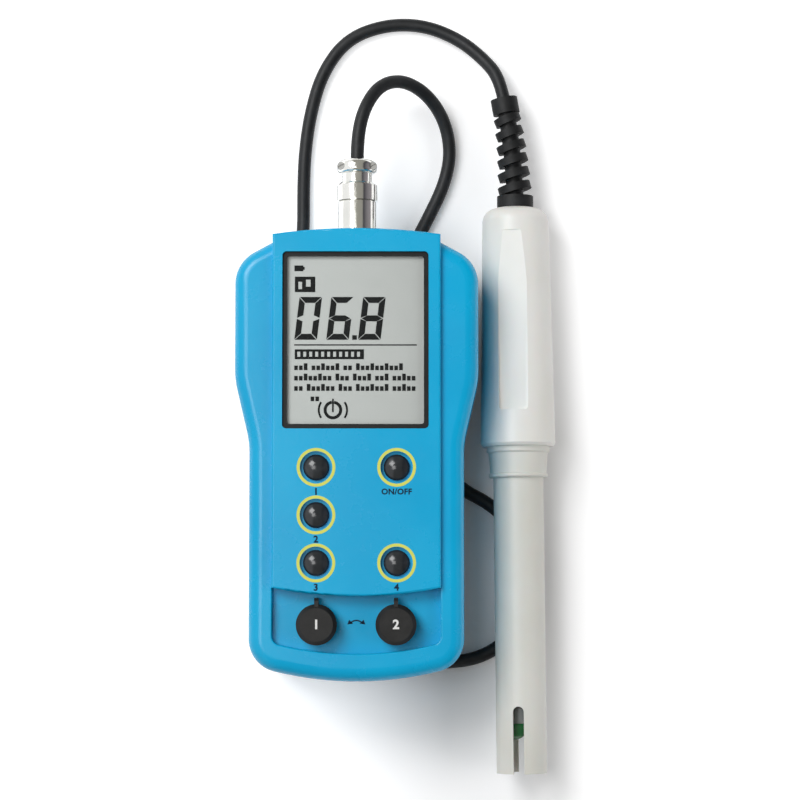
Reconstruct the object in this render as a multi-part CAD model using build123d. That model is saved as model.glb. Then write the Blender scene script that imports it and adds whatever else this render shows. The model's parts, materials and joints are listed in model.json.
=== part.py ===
# Portable multiparameter meter with its combined probe, lying on its own coiled lead.
# Millimetres. Z is up and z = 0 is the surface that the coil and the probe lie on.
# Everything is drawn about the middle of the meter, then moved to the shared origin.

import math
import os
from build123d import *

# Where the middle of the meter lies from the origin under the whole object
meter_from_origin = (-13.47, -9.0)

# Lead
cord_d = 4.5
coil_centre = (-4.5, -8.0)
coil_inner_r = 20.2
turn_pitch = 4.7
coil_top_turn_z = 6.35
crossing_z = 6.85
rear_clearance = 0.3
lift = crossing_z + cord_d / 2 + rear_clearance

# Display, and the panel and housing round it
display_w = 48.5
display_h = 58.9
display_x = -0.35
display_y = 37.7
panel_half_width = display_w / 2 + 3.65

# Housing
half_width = panel_half_width + 12.7
waist_half_width = panel_half_width + 7.8
shoulder_y = 64.1
shoulder_half_width = panel_half_width
shoulder_top_y = 71.0
top_y = 73.2
waist_top_y = 25.0
waist_bottom_y = 4.0
bottom_side_y = -69.5
bottom_y = -75.3
wall = 2.4
split_z = 17.0
face_z = 33.5
panel_z = 36.0
edge_r = 4.5
rear_edge_r = 4.0
rear_step = 0.4
rim_groove_w = 1.0
rim_groove_depth = 1.1
gasket_clearance = 0.05

# Raised panel
panel_top_side_y = 73.0
panel_top_y = 75.0
panel_bottom_side_y = -44.3
panel_bottom_y = -47.0
panel_overhang_z = 28.0
panel_edge_r = 0.7

# Knob pocket
pocket_floor_z = 30.0
pocket_side_y = -62.5
pocket_bottom_y = -66.1
pocket_corner_r = 3.0
tray_wall = 2.2
tray_under_panel = 2.0
pocket_rim_r = 0.45

# Display frame and window
display_corner_r = 1.4
display_fit = 0.1
bezel_depth = 1.1
bezel_lip = 0.6
bezel_frame = 1.55
bezel_flange = 0.8
window_rebate = 0.8
window_t = 1.0
lcd_t = 2.0
carrier_wall = 3.0
strip_w = 1.6

# Buttons
button_d = 8.45
button_x = 13.3
button_rows_left = (-4.6, -20.3, -36.1)
button_rows_right = (-4.6, -36.1)
well_d = 10.6
well_depth = 1.8
guide_t = 2.0
guide_d = 14.0
button_fit = 0.1
button_side_h = 0.9
button_dome_h = 1.7
button_flange_d = 10.6
button_flange_t = 0.8
button_stem_d = 4.0
button_travel = 0.8
button_seat_gap = 0.05
switch_body = 6.0
switch_h = 3.4

# Knobs and their potentiometers
knob_x = 13.1
knob_y = -56.4
knob_d = 13.5
knob_top_d = 11.0
knob_h = 7.0
knob_bevel = 1.2
knob_floor_gap = 0.3
knob_grooves = 36
groove_d = 0.7
pointer_reach = 8.8
pointer_w = 1.4
pot_size = 9.5
bushing_d = 8.0
bushing_hole_fit = 0.2
pot_shaft_d = 6.0
pot_shaft_fit = 0.05
pot_shaft_in_knob = 5.0
pot_shaft_flat = 2.2

# Circuit board
board_z = 20.5
board_t = 1.6
board_half_width = display_w / 2 + 6.0
board_top_y = 65.6
board_bottom_y = -63.0
board_notch = (8.5, 3.5)
board_post_d = 4.6
board_post_x = (display_w / 2 + 4.2, display_w / 2 - 0.7)
board_posts = (
    (-board_post_x[0], 36.0),
    (board_post_x[0], 36.0),
    (-board_post_x[1], -12.5),
    (board_post_x[1], -28.0),
)
board_screw_d = 2.0
board_screw_head_d = 3.8
board_screw_head_h = 1.4
board_screw_l = 6.6
processor_at = (0.0, 4.0)
processor_size = (12.0, 12.0, 2.4)
amplifier_at = (-19.0, 18.0)
amplifier_size = (6.0, 8.0, 1.8)

# Housing screws
upper_screw = (display_w / 2 + 10.4, 50.0)
lower_screw = (panel_half_width - 1.9, -64.0)
screw_d = 2.9
screw_hole_fit = 0.15
screw_head_d = 5.4
screw_head_h = 2.0
counterbore_d = 6.2
counterbore_depth = 3.0
screw_reach_z = 26.0
front_boss_d = 7.0
rear_boss_d = 8.8

# Battery and its sliding door
battery_w = 26.5
battery_t = 17.4
battery_l = 48.5
battery_bottom_y = -68.0
door_half_width = battery_w / 2 + 3.45
door_top_y = battery_bottom_y + battery_l + 5.5
door_t = 2.0
door_recess = 0.2
door_gap = 0.3
door_rail_w = 1.6
door_rail_h = 1.2
door_rail_gap = 0.2
door_rail_ends = (battery_bottom_y + 8.0, door_top_y - 6.0)
door_notch_w = 10.0
door_notch_depth = 1.6
battery_box_x = door_half_width + 2.7
battery_box_wall = 1.5
battery_gap = 0.1
snap_t = 3.0

# Socket and plug on the top end
socket_z = 20.0
socket_d = 10.0
socket_end_y = 80.0
socket_tail = 3.4
pin_tail = 1.0
socket_flange_d = 13.6
socket_flange_t = 1.5
socket_bore_d = 8.2
plug_ring_d = 12.9
plug_ring_start_y = 75.4
plug_ring_end_y = 86.1
plug_ring_fit = 0.06
plug_collar_d = 13.8
plug_collar_end_y = 92.2
plug_neck_d = 10.2
plug_neck_end_y = 95.3
clamp_d = 13.6
clamp_end_y = 100.2
clamp_screw_d = 2.6
insert_fit = 0.1

# Probe
probe_top_y = 86.0
probe_top_x = half_width + 13.75
probe_yaw = 0.45
probe_roll = -9.4
handle_top_r = 11.4
handle_rim_r = 12.8
handle_l = 82.3
handle_shoulder = 5.0
handle_bore_r = 9.0
handle_end_wall = 3.0
label_w = 9.8
label_l = 61.5
label_depth = 0.5
label_from_top = 8.7
collar_l = 10.7
collar_top_r = 10.7
collar_end_r = 10.1
tube_r = 8.55
tube_wall = 1.7
tube_l = 100.2
tube_in_handle = 14.0
slot_w = 3.7
slot_l = 22.7
holder_l = 12.0
holder_end = 22.0
stem_r = 3.1
stem_side = 1.8
bulb_r = 3.6
bulb_from_tip = 11.3
sensor_pin_r = 1.1
sensor_pin_l = 9.0
sensor_side = 4.4
core_fit = 0.1

# Strain relief on the probe
relief_base_d = 12.5
relief_base_l = 4.3
relief_l = 38.8
relief_lean = 10.5
relief_core_d = 5.9
relief_ribs = 6
relief_rib_d = (11.4, 9.2)
relief_rib_t = 2.7
relief_rib_tilt = 13.0
relief_top_d = 9.3
relief_top_l = 5.4

# Route of the lead from the plug to the coil, about the middle of the meter
plug_route = [
    (0.0, 100.2, 29.4),
    (0.0, 108.4, 29.4),
    (2.6, 119.0, 28.2),
    (8.0, 127.2, 24.0),
    (15.6, 129.8, 17.6),
    (23.8, 126.4, 10.6),
    (30.0, 118.4, 5.2),
    (32.4, 107.4, 2.6),
    (30.2, 96.2, 2.25),
    (25.2, 85.6, 2.25),
    (19.6, 74.8, 2.25),
    (14.6, 61.5, 2.25),
    (12.6, 47.0, 2.25),
    (13.2, 32.5, 2.25),
    (17.5, 17.5, 2.25),
    (25.0, 3.5, 2.25),
    (34.5, -9.9, 2.25),
    (45.7, -15.4, 2.25),
    (55.2, -24.5, 2.25),
    (60.6, -37.0, 2.25),
    (59.8, -50.5, 2.25),
    (52.8, -62.0, 2.25),
    (41.8, -69.0, 2.25),
    (28.8, -70.4, 2.25),
    (15.5, -69.4, 2.25),
    (2.0, -65.6, 2.25),
    (-10.5, -58.6, 2.25),
    (-20.8, -48.2, 2.25),
    (-27.0, -34.8, 2.25),
    (-29.4, -21.0, 2.25),
    (-29.4, -8.0, 2.25),
]

# Route from the coil, over its outer turn, to the strain relief on the probe
probe_route = [
    (-31.3, -14.0, 6.85),
    (-31.7, -4.0, 6.85),
    (-31.5, 7.0, 5.4),
    (-30.4, 19.0, 2.5),
    (-28.1, 31.5, 2.25),
    (-25.2, 44.0, 2.25),
    (-22.4, 56.5, 2.25),
    (-20.2, 68.5, 2.25),
    (-19.0, 80.2, 2.25),
    (-19.1, 93.8, 2.25),
    (-18.6, 107.4, 2.25),
    (-16.7, 121.0, 2.25),
    (-12.6, 135.2, 2.25),
    (-4.2, 147.0, 2.25),
    (9.0, 152.2, 2.25),
    (22.8, 152.2, 2.25),
    (35.2, 147.0, 3.2),
    (44.0, 139.2, 5.8),
    (49.0, 132.2, 9.2),
]

wall_y = top_y - wall
board_top_z = board_z + board_t
bezel_top_z = panel_z - bezel_depth
window_top_z = bezel_top_z - bezel_lip
lcd_top_z = window_top_z - window_t
carrier_top_z = lcd_top_z - lcd_t
panel_under_z = panel_z - wall
guide_bottom_z = panel_z - well_depth - guide_t
tray_under_z = pocket_floor_z - tray_wall
button_centres = {
    "button_upper_left": (-button_x, button_rows_left[0]),
    "button_middle_left": (-button_x, button_rows_left[1]),
    "button_lower_left": (-button_x, button_rows_left[2]),
    "button_upper_right": (button_x, button_rows_right[0]),
    "button_lower_right": (button_x, button_rows_right[1]),
}
knob_centres = {"left": (-knob_x, knob_y), "right": (knob_x, knob_y)}
screw_centres = [
    (side * x, y) for x, y in (upper_screw, lower_screw) for side in (-1, 1)
]


def slab(sketch, low_z, high_z):
    """A flat outline raised from one height to another."""
    return Pos(0, 0, low_z) * extrude(sketch, amount=high_z - low_z)


def disc(x, y, diameter, low_z, high_z):
    return slab(Pos(x, y) * Circle(diameter / 2), low_z, high_z)


def block(x_range, y_range, z_range):
    sizes = [high - low for low, high in (x_range, y_range, z_range)]
    middle = [(low + high) / 2 for low, high in (x_range, y_range, z_range)]
    return Pos(*middle) * Box(*sizes)


def along_y(diameter, low_y, high_y, x=0.0, z=socket_z):
    """A round bar whose axis runs along Y."""
    bar = Cylinder(diameter / 2, high_y - low_y)
    return Pos(x, (low_y + high_y) / 2, z) * Rot(90, 0, 0) * bar


def housing_outline():
    """Outline of the housing seen from the front: wide head, waist and rounded foot."""
    right = [
        (shoulder_half_width, shoulder_top_y),
        (half_width, shoulder_y),
        (half_width, waist_top_y),
        (waist_half_width, waist_bottom_y),
        (waist_half_width, bottom_side_y),
    ]
    left = [(-x, y) for x, y in reversed(right)]
    edges = Polyline(*right) + Polyline(*left)
    edges += ThreePointArc(right[-1], (0, bottom_y), left[0])
    edges += ThreePointArc(left[-1], (0, top_y), right[0])
    face = make_face(edges)

    def corners(x, y):
        return [v for v in face.vertices() if abs(abs(v.X) - x) < 0.01 and abs(v.Y - y) < 0.01]

    # Each pair of corners is rounded on the face that the last rounding left.
    for x, y, radius in (
        (half_width, shoulder_y, 12.0),
        (half_width, waist_top_y, 30.0),
        (waist_half_width, waist_bottom_y, 30.0),
        (waist_half_width, bottom_side_y, 11.0),
        (shoulder_half_width, shoulder_top_y, 4.0),
    ):
        face = fillet(corners(x, y), radius)
    return face


def panel_outline():
    """The raised panel: straight sides between a bowed top and a bowed bottom."""
    side = panel_half_width
    edges = Line((side, panel_bottom_side_y), (side, panel_top_side_y))
    edges += ThreePointArc((side, panel_top_side_y), (0, panel_top_y), (-side, panel_top_side_y))
    edges += Line((-side, panel_top_side_y), (-side, panel_bottom_side_y))
    edges += ThreePointArc(
        (-side, panel_bottom_side_y), (0, panel_bottom_y), (side, panel_bottom_side_y)
    )
    return make_face(edges)


def pocket_outline():
    """The sunk pocket for the knobs, from under the panel to a bowed lower edge."""
    side = panel_half_width
    upper = panel_bottom_side_y + 6.0
    edges = Line((side, pocket_side_y), (side, upper))
    edges += Line((side, upper), (-side, upper))
    edges += Line((-side, upper), (-side, pocket_side_y))
    edges += ThreePointArc((-side, pocket_side_y), (0, pocket_bottom_y), (side, pocket_side_y))
    face = make_face(edges)
    low = [v for v in face.vertices() if v.Y < pocket_side_y + 0.1]
    return fillet(low, pocket_corner_r)


def rounded_top(solid, radius):
    """Rounds the outer rim of the highest face."""
    top = solid.faces().sort_by(Axis.Z)[-1]
    return fillet(top.outer_wire().edges(), radius)


def display_rectangle(margin, radius):
    """A rounded rectangle round the display, wider than its opening by the margin."""
    return Pos(display_x, display_y) * RectangleRounded(
        display_w + 2 * margin, display_h + 2 * margin, radius
    )


def on_pocket_rim(edge):
    low, high = edge.bounding_box().min, edge.bounding_box().max
    level = abs(low.Z - face_z) < 0.01 and abs(high.Z - face_z) < 0.01
    across = max(abs(low.X), abs(high.X)) < panel_half_width + 0.01
    return level and across and high.Y < panel_bottom_side_y + 0.01 and low.Y > bottom_y + 5


def front_housing():
    outline = housing_outline()
    shell = rounded_top(slab(outline, split_z, face_z), edge_r)
    panel = slab(panel_outline(), panel_overhang_z, panel_z)
    panel = rounded_top(panel, panel_edge_r)
    shell += panel
    inside = offset(outline, -wall, kind=Kind.INTERSECTION)
    inner_top = face_z - wall
    cavity = rounded_top(slab(inside, split_z, inner_top), edge_r - wall)
    panel_inside = offset(panel_outline(), -wall, kind=Kind.INTERSECTION)
    panel_inside &= Pos(0, panel_bottom_y) * Rectangle(
        2 * half_width, 2 * (wall_y - panel_bottom_y)
    )
    cavity += slab(panel_inside, inner_top - 0.5, panel_under_z)
    tray = offset(pocket_outline(), tray_wall, kind=Kind.INTERSECTION) & outline
    tray_top_y = panel_bottom_side_y + tray_under_panel
    tray &= Pos(0, tray_top_y - half_width) * Rectangle(2 * half_width, 2 * half_width)
    cavity -= slab(tray, tray_under_z, face_z)
    shell -= cavity
    pocket = slab(pocket_outline(), pocket_floor_z, face_z + 1)
    shell -= pocket - slab(panel_outline(), pocket_floor_z - 1, panel_z)
    rim = [e for e in shell.edges() if on_pocket_rim(e)]
    shell = fillet(rim, pocket_rim_r)
    for x, y in button_centres.values():
        shell += disc(x, y, guide_d, guide_bottom_z, panel_under_z + 0.2)
        shell -= disc(x, y, well_d, panel_z - well_depth, panel_z)
        shell -= disc(x, y, button_d + 2 * button_fit, guide_bottom_z, panel_z)
    shell -= slab(display_rectangle(0, display_corner_r), panel_under_z - 1, panel_z)
    for x, y in board_posts:
        post = disc(x, y, board_post_d, board_top_z, inner_top + 0.2)
        shell += post - disc(x, y, board_screw_d, board_top_z, board_top_z + 6)
    for x, y in screw_centres:
        boss_top = tray_under_z if y < panel_bottom_y else inner_top
        boss = disc(x, y, front_boss_d, split_z, boss_top + 0.2) & slab(outline, 0, face_z)
        shell += boss
        shell -= disc(x, y, screw_d + 0.1, split_z, screw_reach_z + 0.5)
    for x, y in knob_centres.values():
        hole_d = bushing_d + 2 * bushing_hole_fit
        shell -= disc(x, y, hole_d, tray_under_z, pocket_floor_z)
    shell -= along_y(socket_d + 0.4, wall_y - 2, panel_top_y + 1)
    return shell


def rear_outer():
    """Outer form of the rear housing, a small step wider than the front one."""
    body = slab(offset(housing_outline(), rear_step, kind=Kind.INTERSECTION), 0, split_z)
    bottom = body.faces().sort_by(Axis.Z)[0]
    return fillet(bottom.outer_wire().edges(), rear_edge_r)


def door_opening():
    half = door_half_width + door_gap
    return block((-half, half), (bottom_y - 5, door_top_y + door_gap), (-1, wall + 0.1))


def rear_housing():
    outline = housing_outline()
    inside = offset(outline, -wall, kind=Kind.INTERSECTION)
    mid_wall = offset(outline, -wall + 0.5, kind=Kind.INTERSECTION)
    shell = rear_outer()
    cavity = slab(inside, wall, split_z)
    bottom = cavity.faces().sort_by(Axis.Z)[0]
    shell -= fillet(bottom.outer_wire().edges(), rear_edge_r - wall)
    groove_outer = offset(outline, -0.7, kind=Kind.INTERSECTION)
    groove_inner = offset(outline, -0.7 - rim_groove_w, kind=Kind.INTERSECTION)
    shell -= slab(groove_outer - groove_inner, split_z - rim_groove_depth, split_z)
    for x, y in screw_centres:
        shell += disc(x, y, rear_boss_d, wall - 0.2, split_z) & slab(mid_wall, 0, split_z)
        shell -= disc(x, y, screw_d + 2 * screw_hole_fit, 0, split_z)
        shell -= disc(x, y, counterbore_d, 0, counterbore_depth)
    outer_x = battery_box_x + battery_box_wall
    top = door_top_y + 3.5
    box = block((-outer_x, outer_x), (bottom_y, top), (wall - 0.2, split_z))
    box -= block(
        (-battery_box_x, battery_box_x),
        (bottom_y, top - battery_box_wall),
        (0, board_z),
    )
    shell += box & slab(mid_wall, wall - 0.2, split_z)
    shell -= door_opening()
    shell -= along_y(socket_d + 0.4, wall_y - 2, panel_top_y + 1)
    return shell


def housing_gasket():
    outline = housing_outline()
    outer = offset(outline, -0.7 - gasket_clearance, kind=Kind.INTERSECTION)
    inner = offset(outline, -0.7 - rim_groove_w + gasket_clearance, kind=Kind.INTERSECTION)
    ring = slab(outer - inner, split_z - rim_groove_depth, split_z)
    return ring - along_y(socket_d + 1.4, wall_y - 2, panel_top_y + 1)


def battery_door():
    """A plate that takes the housing's own outer form, with two rails that hook inside."""
    half = door_half_width
    plate = rear_outer() & block(
        (-half, half), (bottom_y - 5, door_top_y), (door_recess, door_recess + door_t)
    )
    low, high = door_rail_ends
    rail_z = wall + 0.1 + door_rail_gap
    for side in (-1, 1):
        post = sorted((side * (half - 2), side * half))
        hook = sorted((side * (half - 2), side * (half + door_rail_w)))
        plate += block(post, (low, high), (door_recess + door_t - 0.1, rail_z + 0.1))
        plate += block(hook, (low, high), (rail_z, rail_z + door_rail_h))
    notch = block(
        (-door_notch_w / 2, door_notch_w / 2),
        (bottom_y - 5, bottom_y + door_notch_depth),
        (0, door_t + 1),
    )
    return plate - notch


def battery():
    half = battery_w / 2
    low_z = door_recess + door_t + battery_gap
    body = block(
        (-half, half),
        (battery_bottom_y, battery_bottom_y + battery_l),
        (low_z, low_z + battery_t),
    )
    return fillet(body.edges().filter_by(Axis.Y), 2.0)


def battery_snap():
    half = battery_w / 2 - 1
    low_y = battery_bottom_y + battery_l
    return block(
        (-half, half),
        (low_y, low_y + snap_t),
        (door_recess + door_t + battery_gap + 2, door_recess + door_t + battery_t - 2),
    )


def housing_screws():
    screws = []
    for x, y in screw_centres:
        head_z = counterbore_depth - screw_head_h
        head = disc(x, y, screw_head_d, head_z, counterbore_depth)
        shank = disc(x, y, screw_d, counterbore_depth, screw_reach_z)
        cross = Pos(x, y, head_z) * (Box(3, 0.8, 1.6) + Box(0.8, 3, 1.6))
        screws.append(head + shank - cross)
    return Compound(screws)


def display_bezel():
    """Black frame: a flange under the panel and a lip that holds the window down."""
    flange = display_rectangle(bezel_flange, display_corner_r + bezel_flange)
    neck = display_rectangle(-display_fit, display_corner_r)
    frame = slab(flange, carrier_top_z + 0.5, panel_under_z)
    frame += slab(neck, panel_under_z - 0.1, bezel_top_z)
    aperture = display_rectangle(-bezel_frame, 0.8)
    frame -= slab(aperture, 0, panel_z)
    rebate = display_rectangle(window_rebate - bezel_frame, 0.9)
    return frame - slab(rebate, 0, window_top_z)


def window_plate(low_z, high_z):
    return slab(
        display_rectangle(window_rebate - bezel_frame - display_fit, 0.8), low_z, high_z
    )


def lcd_carrier():
    outer = display_rectangle(window_rebate - bezel_frame - display_fit, 0.8)
    inner = display_rectangle(window_rebate - bezel_frame - display_fit - carrier_wall, 0.8)
    frame = slab(outer - inner, board_top_z, carrier_top_z)
    floor_z = carrier_top_z - 2.0
    return frame + slab(outer, floor_z, carrier_top_z - 0.8) - strip_slots()


def strip_slots():
    half = display_w / 2 - 7.0
    slots = [
        block(
            (display_x - half, display_x + half),
            (y - strip_w / 2, y + strip_w / 2),
            (board_top_z, carrier_top_z),
        )
        for y in strip_rows()
    ]
    return slots[0] + slots[1]


def strip_rows():
    reach = display_h / 2 - 2.4
    return (display_y - reach, display_y + reach)


def main_board():
    plate = block(
        (-board_half_width, board_half_width),
        (board_bottom_y, board_top_y),
        (board_z, board_top_z),
    )
    notch_w, notch_h = board_notch
    for side in (-1, 1):
        x_range = sorted((side * (board_half_width - notch_w), side * (board_half_width + 1)))
        plate -= block(
            x_range, (board_bottom_y - 1, board_bottom_y + notch_h), (0, panel_z)
        )
    for x, y in board_posts:
        plate -= disc(x, y, board_screw_d + 0.3, board_z, board_top_z)
    return plate


def chip(at, size):
    x, y = at
    return Pos(x, y, board_z - size[2] / 2) * Box(*size)


def board_chips():
    return Compound([chip(processor_at, processor_size), chip(amplifier_at, amplifier_size)])


def board_screws():
    screws = []
    for x, y in board_posts:
        head = disc(x, y, board_screw_head_d, board_z - board_screw_head_h, board_z)
        shank = disc(x, y, board_screw_d - 0.1, board_z, board_z + board_screw_l)
        screws.append(head + shank)
    return Compound(screws)


def key_switches():
    half = switch_body / 2
    switches = []
    for x, y in button_centres.values():
        body = block(
            (x - half, x + half),
            (y - half, y + half),
            (board_top_z, board_top_z + switch_h - 0.8),
        )
        switches.append(body + disc(x, y, 3.4, board_top_z, board_top_z + switch_h))
    return Compound(switches)


def button(x, y):
    """Domed cap with a retaining flange and a stem over its switch."""
    flange_top = guide_bottom_z - button_seat_gap
    flange_low = flange_top - button_flange_t
    side_top = panel_z - well_depth + button_side_h
    stem_low = board_top_z + switch_h + button_travel + 0.1
    base_r = button_d / 2
    profile = Line((0, stem_low), (button_stem_d / 2, stem_low))
    profile += Line((button_stem_d / 2, stem_low), (button_stem_d / 2, flange_low))
    profile += Line((button_stem_d / 2, flange_low), (button_flange_d / 2, flange_low))
    profile += Line((button_flange_d / 2, flange_low), (button_flange_d / 2, flange_top))
    profile += Line((button_flange_d / 2, flange_top), (base_r, flange_top))
    profile += Line((base_r, flange_top), (base_r, side_top))
    dome_r = (base_r**2 + button_dome_h**2) / (2 * button_dome_h)
    half_angle = math.asin(base_r / dome_r) / 2
    middle = (
        dome_r * math.sin(half_angle),
        side_top + button_dome_h - dome_r * (1 - math.cos(half_angle)),
    )
    profile += ThreePointArc((base_r, side_top), middle, (0, side_top + button_dome_h))
    profile += Line((0, side_top + button_dome_h), (0, stem_low))
    face = Rot(90, 0, 0) * make_face(profile)
    return Pos(x, y) * revolve(face, Axis.Z)


def knob(x, y):
    """Bevelled knob with a grooved grip, a pointer fin and a bore for the shaft."""
    low = pocket_floor_z + knob_floor_gap
    radius = knob_d / 2
    body = Cylinder(radius, knob_h, align=(Align.CENTER, Align.CENTER, Align.MIN))
    top_edge = body.edges().sort_by(Axis.Z)[-1]
    body = chamfer(top_edge, knob_bevel, length2=radius - knob_top_d / 2)
    groove = Pos(radius + 0.1, 0, 0) * Cylinder(
        groove_d / 2,
        knob_h - knob_bevel - 1.2,
        align=(Align.CENTER, Align.CENTER, Align.MIN),
    )
    for i in range(knob_grooves):
        body -= Rot(0, 0, 360 * i / knob_grooves) * groove
    reach = pointer_reach - knob_top_d / 2
    fin = Pos(0, knob_top_d / 2 + reach / 2 - 1.0, 0) * Box(
        pointer_w,
        reach + 2.0,
        knob_h - 0.3,
        align=(Align.CENTER, Align.CENTER, Align.MIN),
    )
    fin -= Pos(0, pointer_reach, knob_h) * Rot(45, 0, 0) * Box(pointer_w + 1, 1.8, 1.8)
    body += fin
    bore_h = knob_shaft_top() - low
    body -= pot_shaft_section(0, bore_h)
    return Pos(x, y, low) * body


def knob_shaft_top():
    return pocket_floor_z + knob_floor_gap + pot_shaft_in_knob


def pot_shaft_section(low_z, high_z):
    """Round shaft with one flat, as a potentiometer has."""
    section = Circle(pot_shaft_d / 2)
    section &= Pos(pot_shaft_flat - pot_shaft_d, 0) * Rectangle(2 * pot_shaft_d, 2 * pot_shaft_d)
    return slab(section, low_z, high_z)


def pot_shaft(x, y):
    low = board_top_z + 1.5
    shaft = disc(0, 0, pot_shaft_d, low, pocket_floor_z + knob_floor_gap)
    shaft += pot_shaft_section(pocket_floor_z + knob_floor_gap, knob_shaft_top())
    return Pos(x, y) * shaft


def pot_bodies():
    half = pot_size / 2
    bodies = []
    for x, y in knob_centres.values():
        body = block(
            (x - half, x + half), (y - half, y + half), (board_top_z, tray_under_z - 0.1)
        )
        body += disc(x, y, bushing_d, tray_under_z - 0.2, pocket_floor_z)
        bore_d = pot_shaft_d + 2 * pot_shaft_fit
        bodies.append(body - disc(x, y, bore_d, board_top_z + 1.4, pocket_floor_z))
    return Compound(bodies)


def probe_socket():
    shell = along_y(socket_d, wall_y - socket_tail, socket_end_y)
    flange_y = wall_y - 0.3
    shell += along_y(socket_flange_d, flange_y - socket_flange_t, flange_y)
    return shell - along_y(socket_bore_d, 0, socket_end_y + 1)


def socket_insert():
    low = wall_y - socket_tail
    insert = along_y(socket_bore_d - 2 * insert_fit, low, socket_end_y - 4)
    for i in range(8):
        angle = math.radians(45 * i)
        pin_x = 2.6 * math.cos(angle)
        pin_z = socket_z + 2.6 * math.sin(angle)
        insert += along_y(0.9, low - pin_tail, socket_end_y - 1.2, pin_x, pin_z)
    return insert


def plug_coupling_ring():
    """Threaded sleeve that turns on the socket's nose and on the plug's front."""
    ring = along_y(plug_ring_d, plug_ring_start_y, plug_ring_end_y - 0.1)
    ends = ring.edges().filter_by(GeomType.CIRCLE)
    ring = chamfer(ends, 0.35)
    return ring - along_y(socket_d + 2 * plug_ring_fit, 0, plug_ring_end_y + 1)


def plug_body():
    body = along_y(socket_d, socket_end_y + 0.2, plug_ring_end_y)
    collar = along_y(plug_collar_d, plug_ring_end_y, plug_collar_end_y)
    far_rim = collar.edges().filter_by(GeomType.CIRCLE).sort_by(Axis.Y)[-1]
    body += chamfer(far_rim, 0.9)
    body += along_y(plug_neck_d, plug_collar_end_y, plug_neck_end_y)
    return body - along_y(socket_bore_d, 0, plug_neck_end_y - 1.5)


def plug_insert():
    low = socket_end_y - 1.0
    return along_y(socket_bore_d - 2 * insert_fit, low, plug_ring_end_y - 1)


def cable_clamp():
    """Domed ring that grips the lead, with an ear at each side for its screws."""
    ring = along_y(clamp_d, plug_neck_end_y, clamp_end_y)
    rims = ring.edges().filter_by(GeomType.CIRCLE).sort_by(Axis.Y)
    ring = fillet(rims[-1], 2.4)
    near_rim = ring.edges().filter_by(GeomType.CIRCLE).sort_by(Axis.Y)[0]
    ring = fillet(near_rim, 1.6)
    middle = (plug_neck_end_y + clamp_end_y) / 2 - 0.2
    for side in (-1, 1):
        x = side * (clamp_d / 2 - 1.4)
        ring -= Pos(x, middle, socket_z) * Cylinder(clamp_screw_d / 2, clamp_d)
    return ring


def clamp_screws():
    screws = []
    middle = (plug_neck_end_y + clamp_end_y) / 2 - 0.2
    for side in (-1, 1):
        x = side * (clamp_d / 2 - 1.4)
        screw = Pos(x, middle, socket_z) * Cylinder(clamp_screw_d / 2, 8.6)
        slot = Pos(x, middle, socket_z + 4.3) * Rot(0, 0, 30) * Box(4, 0.5, 1.0)
        screws.append(screw - slot)
    return Compound(screws)


def probe_pitch():
    """The handle lies on its own taper, so the probe's tip is raised a little."""
    run = handle_l - handle_shoulder
    return math.degrees(math.asin((handle_rim_r - handle_top_r) / run))


def probe_placed(shape):
    """Moves a shape drawn along -Y from the handle's top to where the probe lies."""
    pitch = probe_pitch()
    shoulder_axis_z = handle_top_r * math.cos(math.radians(pitch))
    top_z = shoulder_axis_z - handle_shoulder * math.sin(math.radians(pitch))
    place = Pos(probe_top_x, probe_top_y, top_z) * Rot(0, 0, probe_yaw) * Rot(-pitch, 0, 0)
    return place * Rot(0, probe_roll, 0) * shape


def turned(points_and_arcs):
    """A body of revolution about Y from an outline in x and y."""
    return revolve(make_face(points_and_arcs), Axis.Y)


def probe_handle():
    """Tapered grip with a rounded shoulder, a hollow core and a sunk label panel."""
    shoulder = handle_shoulder
    neck_r = relief_base_d / 2 + 0.6
    outline = Line((0, 0), (neck_r, 0))
    outline += ThreePointArc(
        (neck_r, 0),
        (
            neck_r + (handle_top_r - neck_r) * math.sin(math.radians(45)),
            -shoulder * (1 - math.cos(math.radians(45))),
        ),
        (handle_top_r, -shoulder),
    )
    outline += Line((handle_top_r, -shoulder), (handle_rim_r, -handle_l + 1.0))
    outline += Line((handle_rim_r, -handle_l + 1.0), (handle_rim_r - 0.8, -handle_l))
    outline += Line((handle_rim_r - 0.8, -handle_l), (0, -handle_l))
    outline += Line((0, -handle_l), (0, 0))
    grip = turned(outline)
    bore_l = handle_l - handle_end_wall
    grip -= Pos(0, -handle_l + bore_l / 2, 0) * Rot(90, 0, 0) * Cylinder(handle_bore_r, bore_l)
    middle = -label_from_top - label_l / 2
    middle_r = handle_top_r + (handle_rim_r - handle_top_r) * (
        (-middle - shoulder) / (handle_l - shoulder)
    )
    panel = slab(RectangleRounded(label_w, label_l, 1.0), 0, 5)
    flat_z = middle_r * math.cos(math.asin(label_w / 2 / middle_r)) - label_depth
    grip -= Pos(0, middle, flat_z) * Rot(probe_pitch(), 0, 0) * panel
    return grip


def probe_collar():
    """Stepped collar between the grip and the tube, lipped at both ends."""
    start = -handle_l
    end = start - collar_l
    outline = Line((tube_r, start), (collar_top_r, start))
    outline += Line((collar_top_r, start), (collar_top_r, start - 1.8))
    outline += Line((collar_top_r, start - 1.8), (collar_top_r - 0.6, start - 2.4))
    outline += Line((collar_top_r - 0.6, start - 2.4), (collar_end_r - 0.5, end + 1.6))
    outline += Line((collar_end_r - 0.5, end + 1.6), (collar_end_r, end + 1.2))
    outline += Line((collar_end_r, end + 1.2), (collar_end_r, end + 0.4))
    outline += Line((collar_end_r, end + 0.4), (collar_end_r - 0.4, end))
    outline += Line((collar_end_r - 0.4, end), (tube_r, end))
    outline += Line((tube_r, end), (tube_r, start))
    return turned(outline)


def tube_tip_y():
    return -handle_l - collar_l - tube_l


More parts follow.
